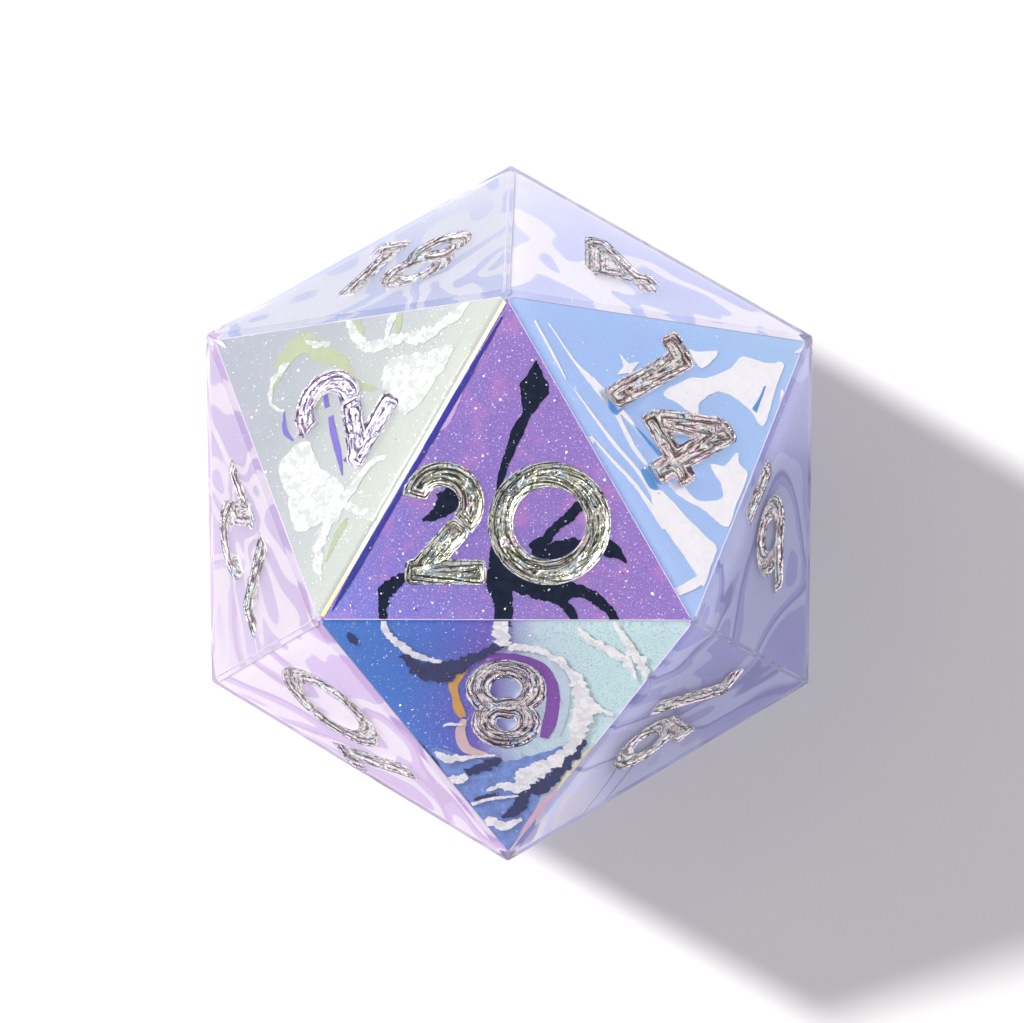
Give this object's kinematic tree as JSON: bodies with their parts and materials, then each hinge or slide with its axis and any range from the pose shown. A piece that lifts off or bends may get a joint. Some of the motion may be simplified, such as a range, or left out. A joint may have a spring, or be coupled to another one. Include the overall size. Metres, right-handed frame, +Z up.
{
  "type": "twenty-sided die",
  "caption": "Clear cast-resin icosahedral die with colour-shift film facets under its faces and silver-lined engraved numerals, for tabletop games.",
  "frame": {"origin": "centre of the resting face, the one engraved 1", "axes": "+Z up through the opposite face, engraved 20; +Y towards the top of the numeral 20; +X to its right"},
  "size_m": [0.0214, 0.0246, 0.02],
  "materials": {
    "clear_resin": "polished clear",
    "core_resin": "smooth",
    "film_violet": "pearl colour-shift",
    "film_sky": "pearl colour-shift",
    "film_pearl": "pearl colour-shift",
    "film_lavender": "pearl colour-shift",
    "film_rose": "pearl colour-shift",
    "film_dusk": "pearl colour-shift",
    "silver_leaf": "crinkled metal leaf",
    "glitter": "iridescent flake"
  },
  "bodies": {
    "root": {"clear_casing": "clear_resin", "inner_core": "core_resin", "film_facet_01": "film_rose", "film_facet_02": "film_pearl", "film_facet_03": "film_dusk", "film_facet_04": "film_lavender", "film_facet_05": "film_lavender", "film_facet_06": "film_dusk", "film_facet_07": "film_rose", "film_facet_08": "film_sky", "film_facet_09": "film_dusk", "film_facet_10": "film_rose", "film_facet_11": "film_lavender", "film_facet_12": "film_rose", "film_facet_13": "film_lavender", "film_facet_14": "film_sky", "film_facet_15": "film_rose", "film_facet_16": "film_dusk", "film_facet_17": "film_rose", "film_facet_18": "film_lavender", "film_facet_19": "film_sky", "film_facet_20": "film_violet", "numeral_01": "silver_leaf", "numeral_02": "silver_leaf", "numeral_03": "silver_leaf", "numeral_04": "silver_leaf", "numeral_05": "silver_leaf", "numeral_06": "silver_leaf", "numeral_07": "silver_leaf", "numeral_08": "silver_leaf", "numeral_09": "silver_leaf", "numeral_10": "silver_leaf", "numeral_11": "silver_leaf", "numeral_12": "silver_leaf", "numeral_13": "silver_leaf", "numeral_14": "silver_leaf", "numeral_15": "silver_leaf", "numeral_16": "silver_leaf", "numeral_17": "silver_leaf", "numeral_18": "silver_leaf", "numeral_19": "silver_leaf", "numeral_20": "silver_leaf", "glitter_flakes": "glitter"}
  },
  "joints": []
}
